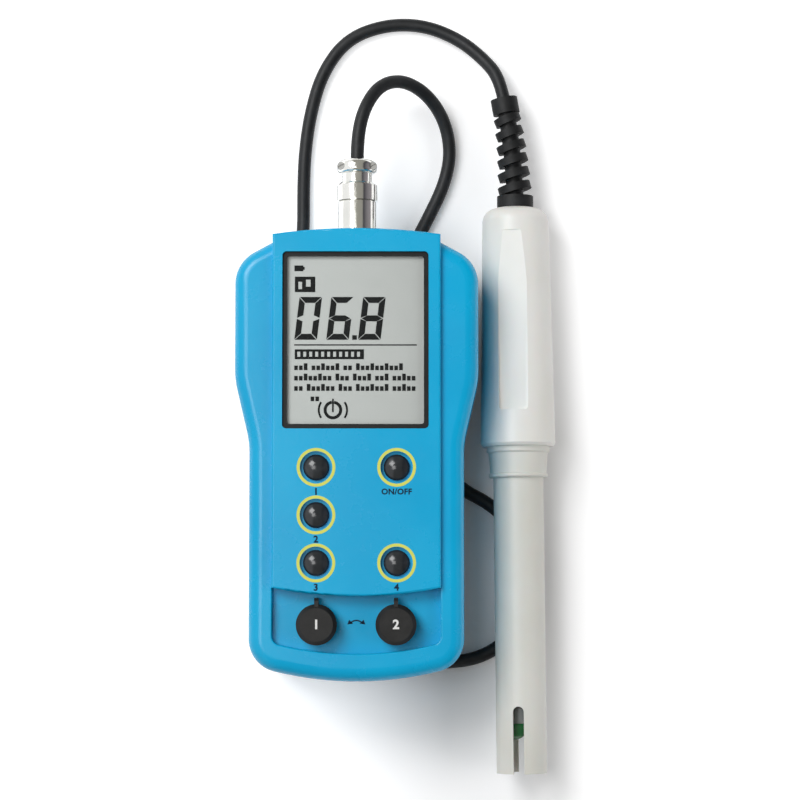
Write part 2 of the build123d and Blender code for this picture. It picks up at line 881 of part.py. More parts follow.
def probe_tube():
    """Guard tube, open at the tip, with a round-ended slot above and below the bulb."""
    top = -handle_l + tube_in_handle
    tip = tube_tip_y()
    middle = (top + tip) / 2
    tube = Pos(0, middle, 0) * Rot(90, 0, 0) * Cylinder(tube_r, top - tip)
    tube -= Pos(0, middle, 0) * Rot(90, 0, 0) * Cylinder(tube_r - tube_wall, top - tip)
    straight = slot_l - slot_w / 2
    slot = Pos(0, tip + straight / 2, 0) * Box(slot_w, straight, 2 * tube_r + 2)
    slot += Pos(0, tip + straight, 0) * Cylinder(slot_w / 2, 2 * tube_r + 2)
    return tube - slot


def electrode_holder():
    """Plug inside the tube that carries the glass electrode and the sensor pin."""
    low = tube_tip_y() + holder_end
    bar = Pos(0, low + holder_l / 2, 0) * Rot(90, 0, 0) * Cylinder(
        tube_r - tube_wall - core_fit, holder_l
    )
    stem = Pos(-stem_side, low + holder_l / 2, 0) * Rot(90, 0, 0) * Cylinder(
        stem_r, holder_l + 1
    )
    pin = Pos(sensor_side, low + holder_l / 2, 0) * Rot(90, 0, 0) * Cylinder(
        sensor_pin_r, holder_l + 1
    )
    return bar - stem - pin


def glass_stem():
    low = tube_tip_y() + bulb_from_tip + bulb_r + stem_joint_drop()
    high = tube_tip_y() + holder_end + holder_l - 1
    return Pos(-stem_side, (low + high) / 2, 0) * Rot(90, 0, 0) * Cylinder(
        stem_r, high - low
    )


def stem_joint_drop():
    """How far below its own top the bulb meets the stem."""
    return math.sqrt(bulb_r**2 - stem_r**2)


def glass_bulb():
    centre_y = tube_tip_y() + bulb_from_tip + bulb_r
    ball = Pos(-stem_side, centre_y, 0) * Sphere(bulb_r)
    cap_y = centre_y + stem_joint_drop()
    return ball & block(
        (-20, 20), (centre_y - 10, cap_y), (-10, 10)
    )


def sensor_pin():
    high = tube_tip_y() + holder_end + holder_l - 1
    low = tube_tip_y() + holder_end - sensor_pin_l
    pin = Pos(sensor_side, (low + high) / 2, 0) * Rot(90, 0, 0) * Cylinder(
        sensor_pin_r, high - low
    )
    tip = pin.edges().filter_by(GeomType.CIRCLE).sort_by(Axis.Y)[0]
    return fillet(tip, sensor_pin_r * 0.6)


def relief_arc():
    """Centre line of the strain relief: it leans to the side as it leaves the handle."""
    lean = math.radians(relief_lean)
    radius = relief_l / lean
    side = radius * (1 - math.cos(lean))
    reach = radius * math.sin(lean)
    half = (radius * (1 - math.cos(lean / 2)), radius * math.sin(lean / 2))
    return ThreePointArc((0, 0, 0), (-half[0], half[1], 0), (-side, reach, 0))


def strain_relief():
    """Ribbed boot: a core along the arc with tilted ribs that shrink towards the lead."""
    arc = relief_arc()
    core = sweep((arc ^ 0) * Circle(relief_core_d / 2), path=arc)
    base = Pos(0, relief_base_l / 2, 0) * Rot(90, 0, 0) * Cylinder(
        relief_base_d / 2, relief_base_l
    )
    boot = core + base
    first = relief_base_l / relief_l + 0.075
    last = 1 - relief_top_l / relief_l - 0.055
    for i in range(relief_ribs):
        share = i / (relief_ribs - 1)
        at = first + (last - first) * share
        rib_d = relief_rib_d[0] + (relief_rib_d[1] - relief_rib_d[0]) * share
        rib = Rot(0, relief_rib_tilt, 0) * Cylinder(rib_d / 2, relief_rib_t)
        boot += (arc ^ at) * rib
    top = arc ^ (1 - relief_top_l / 2 / relief_l)
    boot += top * Cylinder(relief_top_d / 2, relief_top_l)
    # Laid about the handle's own axis, without the roll that the label shows
    return Rot(0, -probe_roll, 0) * boot


def fillet_radii(points):
    """For each corner, 0.45 of its shorter run over the tangent of half its turn."""
    vectors = [Vector(*point) for point in points]
    radii = []
    for before, at, after in zip(vectors, vectors[1:], vectors[2:]):
        turn = (at - before).get_angle(after - at)
        shorter = min((at - before).length, (after - at).length)
        radii.append(0.45 * shorter / math.tan(math.radians(turn) / 2))
    return radii


def cord_tube(name, points):
    radii = fillet_radii(points)
    path = FilletPolyline(*points, radius=radii)
    tube = sweep((path ^ 0) * Circle(cord_d / 2), path=path)
    section = math.pi * cord_d**2 / 4
    share = tube.volume / (section * path.length)
    print(name, "length", round(path.length, 1), "volume over section times length", round(share, 4))
    print(name, "radii", [round(radius, 1) for radius in radii])
    return tube


def cord_coil():
    """Closed ring with the outer shape of two turns side by side and one on top."""
    half = cord_d / 2
    inner = coil_inner_r - half
    outer = coil_inner_r + turn_pitch + half
    top = coil_top_turn_z + half
    corner = 0.2 * cord_d
    profile = Polyline(
        (inner, corner),
        (inner + corner, 0),
        (outer - corner, 0),
        (outer, corner),
        (outer, cord_d - corner),
        (outer - half, top),
        (inner + half, top),
        (inner, cord_d - corner),
        (inner, corner),
    )
    ring = revolve(Rot(90, 0, 0) * make_face(profile), Axis.Z)
    return Pos(*coil_centre) * ring


def probe_relief_end():
    """Where the lead leaves the strain relief, in the meter's own coordinates."""
    end = relief_arc() @ 1
    spot = Rot(0, -probe_roll, 0) * Pos(end.X, end.Y, end.Z)
    return probe_placed(spot).position


def meter_pieces():
    """Pieces drawn with z = 0 at the meter's rear face."""
    pieces = {
        "front_housing": front_housing(),
        "rear_housing": rear_housing(),
        "housing_gasket": housing_gasket(),
        "housing_screws": housing_screws(),
        "battery_door": battery_door(),
        "battery": battery(),
        "battery_snap": battery_snap(),
        "display_bezel": display_bezel(),
        "display_window": window_plate(lcd_top_z, window_top_z),
        "lcd_glass": window_plate(carrier_top_z, lcd_top_z),
        "lcd_carrier": lcd_carrier(),
        "contact_strips": Compound(strip_slots().solids()),
        "main_board": main_board(),
        "board_chips": board_chips(),
        "board_screws": board_screws(),
        "key_switches": key_switches(),
        "pot_bodies": pot_bodies(),
        "probe_socket": probe_socket(),
        "socket_insert": socket_insert(),
        "plug_coupling_ring": plug_coupling_ring(),
        "plug_body": plug_body(),
        "plug_insert": plug_insert(),
        "cable_clamp": cable_clamp(),
        "clamp_screws": clamp_screws(),
    }
    for name, (x, y) in button_centres.items():
        pieces[name] = button(x, y)
    for side, (x, y) in knob_centres.items():
        pieces[side + "_knob"] = knob(x, y)
        pieces[side + "_knob_shaft"] = pot_shaft(x, y)
    return pieces


def probe_pieces():
    """Pieces drawn along -Y from the top of the probe's handle."""
    return {
        "probe_handle": probe_handle(),
        "probe_collar": probe_collar(),
        "probe_tube": probe_tube(),
        "electrode_holder": electrode_holder(),
        "glass_stem": glass_stem(),
        "glass_bulb": glass_bulb(),
        "sensor_pin": sensor_pin(),
        "strain_relief": strain_relief(),
    }


def main():
    os.makedirs("parts", exist_ok=True)
    placed = {}
    for name, shape in meter_pieces().items():
        placed[name] = Pos(0, 0, lift) * shape
    for name, shape in probe_pieces().items():
        placed[name] = probe_placed(shape)
    end = probe_relief_end()
    placed["lead_plug_end"] = cord_tube("lead_plug_end", plug_route)
    placed["lead_probe_end"] = cord_tube("lead_probe_end", probe_route + [(end.X, end.Y, end.Z)])
    placed["lead_coil"] = cord_coil()
    for name, shape in placed.items():
        export_step(Pos(*meter_from_origin) * shape, f"parts/{name}.step")


main()
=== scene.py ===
# Looks of a handheld water meter and its probe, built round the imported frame.
import json
import math

import bmesh
import bpy
from mathutils import Matrix, Vector


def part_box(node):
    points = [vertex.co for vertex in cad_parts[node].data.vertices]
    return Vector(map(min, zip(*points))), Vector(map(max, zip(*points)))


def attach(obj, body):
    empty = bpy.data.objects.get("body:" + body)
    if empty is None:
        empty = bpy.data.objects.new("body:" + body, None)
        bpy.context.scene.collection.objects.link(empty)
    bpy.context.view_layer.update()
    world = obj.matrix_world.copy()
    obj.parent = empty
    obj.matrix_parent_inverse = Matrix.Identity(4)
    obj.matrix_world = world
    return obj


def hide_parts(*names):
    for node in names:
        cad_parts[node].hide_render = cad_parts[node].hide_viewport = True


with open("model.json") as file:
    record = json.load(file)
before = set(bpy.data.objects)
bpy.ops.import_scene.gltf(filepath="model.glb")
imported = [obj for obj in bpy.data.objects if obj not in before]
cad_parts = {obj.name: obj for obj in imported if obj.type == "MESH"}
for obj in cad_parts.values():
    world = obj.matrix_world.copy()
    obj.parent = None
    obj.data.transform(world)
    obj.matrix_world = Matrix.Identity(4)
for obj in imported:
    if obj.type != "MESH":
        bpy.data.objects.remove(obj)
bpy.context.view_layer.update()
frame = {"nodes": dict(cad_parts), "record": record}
mm = 0.001

shellLow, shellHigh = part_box("front_housing")
meterX = (shellLow.x + shellHigh.x) / 2
aboveMiddle = 75.0 * mm  # from the middle that all places below count from to the housing's top
meterY = shellHigh.y - aboveMiddle
panelZ = shellHigh.z
pocketDeep = 6.0 * mm
pocketZ = panelZ - pocketDeep
print("frame loaded, panel at", round(panelZ, 4))


def atMeter(x, y, z):
    # x and y in millimetres from the middle of the meter, z in metres
    return Vector((meterX + x * mm, meterY + y * mm, z))


# Camera over the bench, tilted a little so that the photograph's framing comes out
cameraSet = {
    "standsOver": (11.12, -38.4),
    "height": 0.900,
    "floorPixelBelow": (390.0, 570.0),
    "framePixels": 800.0,
    "pixelsFocal": 2591.0,
    "sensor": 36.0,
    "nearest": 0.05,
}


def placeCamera():
    data = bpy.data.cameras.new("benchCamera")
    data.sensor_width = cameraSet["sensor"]
    data.lens = cameraSet["sensor"] * cameraSet["pixelsFocal"] / cameraSet["framePixels"]
    data.clip_start = cameraSet["nearest"]
    camera = bpy.data.objects.new("benchCamera", data)
    bpy.context.scene.collection.objects.link(camera)
    camera.location = atMeter(*cameraSet["standsOver"], cameraSet["height"])
    middle = cameraSet["framePixels"] / 2
    belowX, belowY = cameraSet["floorPixelBelow"]
    aim = Vector((middle - belowX, belowY - middle, -cameraSet["pixelsFocal"])).normalized()
    side = aim.cross(Vector((0, 1, 0))).normalized()
    up = side.cross(aim)
    camera.rotation_euler = Matrix((side, up, -aim)).transposed().to_euler()
    bpy.context.scene.camera = camera


placeCamera()


class Wire:
    # A socket that can be used in sums
    def __init__(self, finish, socket):
        self.finish = finish
        self.socket = socket

    def sum(self, operation, first, second):
        return self.finish.node("ShaderNodeMath", {"operation": operation}, {0: first, 1: second})

    def __add__(self, other):
        return self.sum("ADD", self, other)

    def __radd__(self, other):
        return self.sum("ADD", other, self)

    def __sub__(self, other):
        return self.sum("SUBTRACT", self, other)

    def __rsub__(self, other):
        return self.sum("SUBTRACT", other, self)

    def __mul__(self, other):
        return self.sum("MULTIPLY", self, other)

    def __rmul__(self, other):
        return self.sum("MULTIPLY", other, self)


class Sheet:
    # The nodes of a material or of the world
    def __init__(self, owner):
        owner.use_nodes = True
        self.tree = owner.node_tree

    def node(self, kind, settings, values, output=0):
        fresh = self.tree.nodes.new(kind)
        for key, value in settings.items():
            if key == "stops":
                self.setStops(fresh.color_ramp, value)
            else:
                setattr(fresh, key, value)
        for key, value in values.items():
            if isinstance(value, Wire):
                self.tree.links.new(value.socket, fresh.inputs[key])
            else:
                fresh.inputs[key].default_value = value
        return Wire(self, fresh.outputs[output])

    def setStops(self, ramp, stops):
        while len(ramp.elements) < len(stops):
            ramp.elements.new(0.5)
        for element, (place, colour) in zip(ramp.elements, stops):
            element.position = place
            element.color = colour

    def blend(self, share, first, second):
        values = {0: share, 6: first, 7: second}
        return self.node("ShaderNodeMix", {"data_type": "RGBA"}, values, output=2)

    def seen(self):
        # 1 where the camera, a mirror or a glass sees the surface, 0 for the light it gives
        rays = ("Is Camera Ray", "Is Glossy Ray", "Is Transmission Ray")
        first, second, third = (self.node("ShaderNodeLightPath", {}, {}, output=ray) for ray in rays)
        return first + second + third


class Finish(Sheet):
    # A node material built round one Principled shader
    def __init__(self, name, **constants):
        self.material = bpy.data.materials.new(name)
        super().__init__(self.material)
        self.shader = self.tree.nodes["Principled BSDF"]
        for socket, value in constants.items():
            self.shader.inputs[socket.replace("_", " ")].default_value = value

    def place(self):
        return self.node("ShaderNodeTexCoord", {}, {}, output="Object")

    def noise(self, scale, detail=3.0, roughness=0.5, stretch=None):
        where = self.place()
        if stretch:
            where = self.node("ShaderNodeMapping", {}, {"Vector": where, "Scale": stretch})
        values = {"Vector": where, "Scale": scale, "Detail": detail, "Roughness": roughness}
        return self.node("ShaderNodeTexNoise", {}, values)

    def between(self, value, low, high, start=0.0, end=1.0):
        settings = {"interpolation_type": "SMOOTHSTEP"}
        values = {0: value, 1: low, 2: high, 3: start, 4: end}
        return self.node("ShaderNodeMapRange", settings, values)

    def feed(self, socket, wire):
        self.tree.links.new(wire.socket, self.shader.inputs[socket])

    def bump(self, height, strength, distance):
        values = {"Height": height, "Strength": strength, "Distance": distance}
        self.feed("Normal", self.node("ShaderNodeBump", {}, values))


def shade(red, green, blue):
    # Turns a colour as it is seen, 0 to 255, into a linear one
    parts = []
    for part in (red, green, blue):
        value = part / 255
        parts.append(value / 12.92 if value <= 0.04045 else ((value + 0.055) / 1.055) ** 2.4)
    return (*parts, 1.0)


mouldedSet = {
    "panelBlue": (0, 170, 218),
    "panelBlueDeep": (0, 163, 212),
    "roughness": (0.22, 0.32),
    "grainScale": 5200,
    "grainDepth": 0.00004,
    "smudgeScale": 38,
}


def mouldedBlue(name, paintedShadeTint):
    make = Finish(name, Specular_IOR_Level=0.36)
    cloud = make.noise(26, detail=4)
    smudge = make.between(make.noise(mouldedSet["smudgeScale"], detail=6, roughness=0.62), 0.35, 0.75)
    low = shade(*(part * paintedShadeTint for part in mouldedSet["panelBlueDeep"]))
    high = shade(*(part * paintedShadeTint for part in mouldedSet["panelBlue"]))
    make.feed("Base Color", make.blend(make.between(cloud, 0.3, 0.7), low, high))
    smooth, rough = mouldedSet["roughness"]
    make.feed("Roughness", smooth + smudge * (rough - smooth))
    grain = make.noise(mouldedSet["grainScale"], detail=2)
    make.bump(grain + make.noise(900, detail=3) * 0.4, 0.25, mouldedSet["grainDepth"])
    return make.material


probeSet = {
    "white": (234, 233, 229),
    "warm": (228, 227, 221),
    "guard": (218, 218, 212),
    "guardWarm": (211, 210, 202),
    "grainScale": 3200,
}


def probeWhite(name, first, second, rough):
    make = Finish(name, Specular_IOR_Level=0.5, Subsurface_Weight=0.08, Subsurface_Scale=0.002)
    cloud = make.between(make.noise(34, detail=5), 0.3, 0.7)
    make.feed("Base Color", make.blend(cloud, shade(*first), shade(*second)))
    scuff = make.between(make.noise(300, detail=6, stretch=(1.0, 0.12, 1.0)), 0.45, 0.8)
    make.feed("Roughness", rough + scuff * 0.12)
    grain = make.noise(probeSet["grainScale"], detail=2)
    make.bump(grain + scuff * 0.3, 0.22, 0.00005)
    return make.material


rubberSet = {
    "lead": (24, 26, 28),
    "leadWorn": (42, 44, 47),
    "relief": (18, 19, 20),
    "reliefWorn": (36, 38, 40),
}


def blackRubber(name, first, second, rough, grain):
    make = Finish(name, Specular_IOR_Level=0.3)
    dust = make.between(make.noise(160, detail=7, roughness=0.65), 0.42, 0.78)
    make.feed("Base Color", make.blend(dust * 0.75, shade(*first), shade(*second)))
    make.feed("Roughness", rough + make.noise(420, detail=4) * 0.16)
    make.bump(make.noise(grain, detail=4), 0.35, 0.00006)
    return make.material


def blackPlastic(name, colour, rough, grain, depth, gloss=0.5):
    make = Finish(name, Specular_IOR_Level=gloss)
    wear = make.between(make.noise(240, detail=6, roughness=0.6), 0.4, 0.8)
    lighter = tuple(min(255, part + 14) for part in colour)
    make.feed("Base Color", make.blend(wear, shade(*colour), shade(*lighter)))
    make.feed("Roughness", rough + wear * 0.1)
    make.bump(make.noise(grain, detail=3), 0.3, depth)
    return make.material


def brightNickel(name):
    make = Finish(name, Metallic=1.0)
    tone = make.between(make.noise(120, detail=4), 0.3, 0.7)
    make.feed("Base Color", make.blend(tone, shade(240, 240, 236), shade(229, 229, 225)))
    fine = make.noise(1600, detail=3, stretch=(1.0, 0.15, 1.0))
    make.feed("Roughness", 0.09 + make.between(fine, 0.3, 0.8) * 0.1)
    make.bump(fine, 0.05, 0.00002)
    return make.material


def steel(name):
    make = Finish(name, Metallic=1.0)
    tone = make.noise(700, detail=4)
    make.feed("Base Color", make.blend(tone, shade(168, 168, 166), shade(142, 142, 140)))
    make.feed("Roughness", 0.28 + tone * 0.2)
    return make.material


def lcdGround(name):
    make = Finish(name, Specular_IOR_Level=0.4)
    where = make.place()
    displayX = make.node("ShaderNodeSeparateXYZ", {}, {0: where}, output="X")
    # Painted light: the display's ground is painted lighter at its left side and darker at its right, as if
    # lit from the left
    paintedLightSlope = make.between(displayX, meterX - 0.024, meterX + 0.024)
    cloud = make.noise(60, detail=2)
    ground = make.blend(paintedLightSlope, shade(197, 202, 199), shade(190, 194, 191))
    make.feed("Base Color", make.blend(cloud * 0.3, ground, shade(193, 198, 195)))
    make.feed("Roughness", 0.3 + cloud * 0.1)
    return make.material


def lcdDark(name):
    make = Finish(name, Specular_IOR_Level=0.05)
    cloud = make.noise(300, detail=2)
    make.feed("Base Color", make.blend(cloud, shade(8, 10, 10), shade(15, 17, 16)))
    make.feed("Roughness", 0.5 + cloud * 0.1)
    return make.material


def clearWindow(name):
    make = Finish(name, Base_Color=(0.12, 0.13, 0.13, 1.0), Specular_IOR_Level=0.5)
    haze = make.between(make.noise(90, detail=5), 0.45, 0.8)
    make.feed("Alpha", 0.05 + haze * 0.02)
    make.feed("Roughness", 0.05 + haze * 0.06)
    return make.material


def printInk(name, colour, rough):
    make = Finish(name, Specular_IOR_Level=0.15)
    mottle = make.noise(1800, detail=3)
    darker = tuple(part * 0.93 for part in colour)
    make.feed("Base Color", make.blend(mottle, shade(*darker), shade(*colour)))
    make.feed("Roughness", rough + mottle * 0.1)
    return make.material


def tintedGlass(name, colour, deep, alpha):
    make = Finish(name, Specular_IOR_Level=0.6, Alpha=alpha)
    swirl = make.noise(400, detail=2)
    make.feed("Base Color", make.blend(swirl, shade(*colour), shade(*deep)))
    make.feed("Roughness", 0.04 + swirl * 0.05)
    return make.material


finishes = {
    "housing": mouldedBlue("mouldedHousing", 1.0),
    # The rear case takes the housing's blue painted 3% darker, a painted shade for the underside
    "rear_case": mouldedBlue("mouldedRearCaseShaded", 0.97),
    "gasket": blackRubber("sealRubber", rubberSet["relief"], rubberSet["reliefWorn"], 0.55, 1500),
    "screw_steel": steel("platedSteel"),
    "battery_case": blackPlastic("batteryCan", (44, 46, 49), 0.3, 900, 0.00002),
    "black_plastic": blackPlastic("blackMoulding", (12, 13, 14), 0.42, 1400, 0.00003, gloss=0.25),
    "window": clearWindow("clearWindow"),
    "lcd": lcdGround("displayGround"),
    "carrier": probeWhite("carrierWhite", probeSet["white"], probeSet["warm"], 0.5),
    "board": blackPlastic("boardGreen", (14, 78, 40), 0.3, 800, 0.00002),
    "button": blackPlastic("polishedButton", (34, 38, 42), 0.16, 500, 0.00001),
    "knob": blackPlastic("knobMoulding", (18, 18, 18), 0.40, 2400, 0.00005, gloss=0.3),
    "nickel": brightNickel("brightNickel"),
    "lead": blackRubber("leadSheath", rubberSet["lead"], rubberSet["leadWorn"], 0.42, 1200),
    "relief": blackRubber("reliefRubber", rubberSet["relief"], rubberSet["reliefWorn"], 0.5, 1600),
    "probe_body": probeWhite("probeGrip", probeSet["white"], probeSet["warm"], 0.38),
    "probe_guard": probeWhite("probeGuard", probeSet["guard"], probeSet["guardWarm"], 0.42),
    "holder": blackPlastic("sealingCompound", (52, 46, 38), 0.5, 900, 0.0001),
    "electrode_glass": tintedGlass("stemGlass", (176, 186, 182), (150, 160, 156), 0.55),
    "bulb_glass": tintedGlass("bulbGlass", (60, 150, 84), (34, 116, 60), 0.88),
    "sensor_steel": steel("sensorSteel"),
    "ink": printInk("darkPrint", (14, 38, 62), 0.5),
    "ring": printInk("yellowPrint", (222, 224, 104), 0.45),
    "mark": printInk("whitePrint", (232, 232, 230), 0.5),
    "segment": lcdDark("displaySegment"),
}
for entry in frame["record"]["subparts"]:
    part = frame["nodes"][entry["node"]]
    part.data.materials.clear()
    part.data.materials.append(finishes[entry["material_slot"]])
print("finishes set on", len(frame["nodes"]), "nodes")


def addPiece(name, mesh, finish, body="meter"):
    piece = bpy.data.objects.new(name, mesh)
    bpy.context.scene.collection.objects.link(piece)
    mesh.materials.append(finishes[finish])
    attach(piece, body)
    return piece


def slabMesh(name, outlines, low, high):
    # Raises flat outlines, each a list of (x, y) in metres, from one height to another
    built = bmesh.new()
    for outline in outlines:
        lower = [built.verts.new((x, y, low)) for x, y in outline]
        upper = [built.verts.new((x, y, high)) for x, y in outline]
        built.faces.new(upper)
        built.faces.new(lower[::-1])
        count = len(outline)
        for i in range(count):
            j = (i + 1) % count
            built.faces.new((lower[i], lower[j], upper[j], upper[i]))
    bmesh.ops.recalc_face_normals(built, faces=built.faces)
    mesh = bpy.data.meshes.new(name)
    built.to_mesh(mesh)
    built.free()
    return mesh


def ringMesh(name, centres, inner, outer, low, high, around=72):
    # Flat rings, each with a square section
    built = bmesh.new()
    corners = ((inner, low), (outer, low), (outer, high), (inner, high))
    for middle in centres:
        loops = []
        for radius, z in corners:
            loop = []
            for i in range(around):
                angle = 2 * math.pi * i / around
                x = middle.x + radius * math.cos(angle)
                y = middle.y + radius * math.sin(angle)
                loop.append(built.verts.new((x, y, z)))
            loops.append(loop)
        for k in range(4):
            first, second = loops[k], loops[(k + 1) % 4]
            for i in range(around):
                j = (i + 1) % around
                built.faces.new((first[i], first[j], second[j], second[i]))
    bmesh.ops.recalc_face_normals(built, faces=built.faces)
    mesh = bpy.data.meshes.new(name)
    built.to_mesh(mesh)
    built.free()
    return mesh


def roundedOutline(low, high, radius, steps=6):
    points = []
    corners = (
        (high[0] - radius, high[1] - radius, 0),
        (low[0] + radius, high[1] - radius, 90),
        (low[0] + radius, low[1] + radius, 180),
        (high[0] - radius, low[1] + radius, 270),
    )
    for x, y, start in corners:
        for i in range(steps + 1):
            angle = math.radians(start + 90 * i / steps)
            points.append((x + radius * math.cos(angle), y + radius * math.sin(angle)))
    return points


# The lead: the same route as the solids, about the middle of the meter, in millimetres
leadSet = {
    "diameter": 4.5,
    "plugRoute": [
        (0.0, 100.2, 29.4),
        (0.0, 108.4, 29.4),
        (2.6, 119.0, 28.2),
        (8.0, 127.2, 24.0),
        (15.6, 129.8, 17.6),
        (23.8, 126.4, 10.6),
        (30.0, 118.4, 5.2),
        (32.4, 107.4, 2.6),
        (30.2, 96.2, 2.25),
        (25.2, 85.6, 2.25),
        (19.6, 74.8, 2.25),
        (14.6, 61.5, 2.25),
        (12.6, 47.0, 2.25),
        (13.2, 32.5, 2.25),
        (17.5, 17.5, 2.25),
        (25.0, 3.5, 2.25),
        (34.5, -9.9, 2.25),
        (45.7, -15.4, 2.25),
        (55.2, -24.5, 2.25),
        (60.6, -37.0, 2.25),
        (59.8, -50.5, 2.25),
        (52.8, -62.0, 2.25),
        (41.8, -69.0, 2.25),
        (28.8, -70.4, 2.25),
        (15.5, -69.4, 2.25),
        (2.0, -65.6, 2.25),
        (-10.5, -58.6, 2.25),
        (-20.8, -48.2, 2.25),
        (-27.0, -34.8, 2.25),
        (-29.4, -21.0, 2.25),
    ],
    "probeRoute": [
        (-31.3, -14.0, 6.85),
        (-31.7, -4.0, 6.85),
        (-31.5, 7.0, 5.4),
        (-30.4, 19.0, 2.5),
        (-28.1, 31.5, 2.25),
        (-25.2, 44.0, 2.25),
        (-22.4, 56.5, 2.25),
        (-20.2, 68.5, 2.25),
        (-19.0, 80.2, 2.25),
        (-19.1, 93.8, 2.25),
        (-18.6, 107.4, 2.25),
        (-16.7, 121.0, 2.25),
        (-12.6, 135.2, 2.25),
        (-4.2, 147.0, 2.25),
        (9.0, 152.2, 2.25),
        (22.8, 152.2, 2.25),
        (35.2, 147.0, 3.2),
        (44.0, 139.2, 5.8),
        (49.0, 132.2, 9.2),
    ],
    "reliefEnd": (50.5018, 124.5478, 10.6088),
    "coilCentre": (-4.5, -8.0),
    "coilTurns": 3,
    "perTurn": 16,
    # Turn count, radius and height: two turns on the floor, then one on top of them
    "coilStations": [
        (0.00, 24.9, 2.25),
        (0.75, 24.9, 2.25),
        (1.00, 20.2, 2.25),
        (1.62, 20.2, 2.25),
        (1.75, 20.2, 3.9),
        (1.85, 20.2, 5.7),
        (1.95, 20.7, 6.85),
        (2.10, 22.6, 6.5),
        (2.25, 22.6, 6.4),
        (2.60, 22.6, 6.5),
        (2.75, 24.7, 6.85),
        (3.00, 26.8, 6.85),
    ],
}


def station(turn):
    rows = leadSet["coilStations"]
    for before, after in zip(rows, rows[1:]):
        if before[0] <= turn <= after[0]:
            share = (turn - before[0]) / (after[0] - before[0])
            return tuple(a + (b - a) * share for a, b in zip(before[1:], after[1:]))
    return rows[-1][1:]


def coilPoints():
    count = leadSet["perTurn"]
    spread = 1 / math.cos(math.pi / count)
    centreX, centreY = leadSet["coilCentre"]
    points = []
    for i in range(leadSet["coilTurns"] * count):
        radius, height = station(max(0.0, (i - 0.5) / count))
        angle = math.radians(180 + (0.5 - i) * 360 / count)
        x = centreX + radius * spread * math.cos(angle)
        y = centreY + radius * spread * math.sin(angle)
        points.append((x, y, height))
    return points


def layLead():
    endX, endY, endZ = leadSet["reliefEnd"]
    route = leadSet["plugRoute"] + coilPoints() + leadSet["probeRoute"] + [leadSet["reliefEnd"]]
    data = bpy.data.curves.new("lead", "CURVE")
    data.dimensions = "3D"
    data.bevel_depth = leadSet["diameter"] / 2 * mm
    data.bevel_resolution = 8
    data.resolution_u = 10
    data.use_fill_caps = True
    line = data.splines.new("NURBS")
    line.points.add(len(route) - 1)
    for point, (x, y, z) in zip(line.points, route):
        point.co = (*atMeter(x, y, z * mm), 1.0)
    line.order_u = 3
    line.use_endpoint_u = True
    data.materials.append(finishes["lead"])
    lead = bpy.data.objects.new("lead", data)
    bpy.context.scene.collection.objects.link(lead)
    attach(lead, "meter")
    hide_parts("lead_plug_end", "lead_coil", "lead_probe_end")
    atMeter(endX, endY, endZ * mm)


layLead()
print("lead laid")

displaySet = {
    "windowGap": 0.12,
    "originLeft": 22.95,
    "originUp": 27.5,
    "unit": 1.012,
    "segmentLift": 0.02,
    "segmentDepth": 0.05,
    "reading": "06.8",
    "slant": 0.12,
    "digitTop": 12.9,
    "digitHeight": 14.1,
    "digitLefts": (2.6, 13.05, 23.5),
    "digitWidth": 7.4,
    "stroke": 1.95,
    "gap": 0.16,
    "pointAt": (21.6, 25.5),
    "pointSize": 1.5,
    "textLeft": 2.6,
    "letterPitch": 1.57,
    "letterWidth": 1.18,
    "xHeight": 1.5,
    "ascender": 0.75,
    "wordGap": 1.0,
    # Dark fields as left, top, width and height: battery, its tip, unit, line, and title
    "darkBoxes": (
        (2.6, 2.5, 2.9, 1.9),
        (5.5, 3.0, 0.45, 0.9),
        (2.75, 6.2, 6.7, 5.1),
        (2.6, 28.5, 40.2, 0.42),
        (2.75, 30.15, 22.7, 3.25),
    ),
    # Pale fields on the unit, then a row of them on the title
    "paleBoxes": ((3.9, 7.9, 1.2, 2.4), (6.4, 7.2, 1.5, 2.3)),
    "titleRow": {"left": 3.6, "pitch": 1.96, "count": 11, "top": 30.95, "width": 0.95, "height": 1.65},
    "smallWord": (8.0, 47.2, (2,)),
    # The knob sign: a ring with a pointer between two brackets
    "knobAt": (15.3, 50.1),
    "knobRing": (2.05, 3.05),
    "knobPointer": (0.54, 3.7, 4.4),
    "knobBracket": (4.3, 4.95, 34),
    "paneCorner": 0.8,
    "paleDepth": 0.01,
}

# Which of the seven bars are dark for each figure: top, upper right, lower right,
# bottom, lower left, upper left, middle
figureBars = {
    "0": (1, 1, 1, 1, 1, 1, 0),
    "6": (1, 0, 1, 1, 1, 1, 1),
    "8": (1, 1, 1, 1, 1, 1, 1),
}


def figureOutlines(figure, left, top):
    # Seven mitred bars round two square fields
    right, low = left + displaySet["digitWidth"], top + displaySet["digitHeight"]
    stroke, gap = displaySet["stroke"], displaySet["gap"]
    middle, half = (top + low) / 2, stroke / 2
    inLeft, inRight = left + stroke, right - stroke
    rows = (
        [(left + gap, top), (right - gap, top), (inRight - gap, top + stroke), (inLeft + gap, top + stroke)],
        [(right, top + gap), (right, middle - gap), (inRight, middle - half), (inRight, top + stroke + gap)],
        [(right, middle + gap), (right, low - gap), (inRight, low - stroke - gap), (inRight, middle + half)],
        [(inLeft + gap, low - stroke), (inRight - gap, low - stroke), (right - gap, low), (left + gap, low)],
        [(left, middle + gap), (inLeft, middle + half), (inLeft, low - stroke - gap), (left, low - gap)],
        [(left, top + gap), (inLeft, top + stroke + gap), (inLeft, middle - half), (left, middle - gap)],
        [
            (left + gap * 2, middle),
            (inLeft + gap, middle - half),
            (inRight - gap, middle - half),
            (right - gap * 2, middle),
            (inRight - gap, middle + half),
            (inLeft + gap, middle + half),
        ],
    )
    return [row for dark, row in zip(figureBars[figure], rows) if dark]


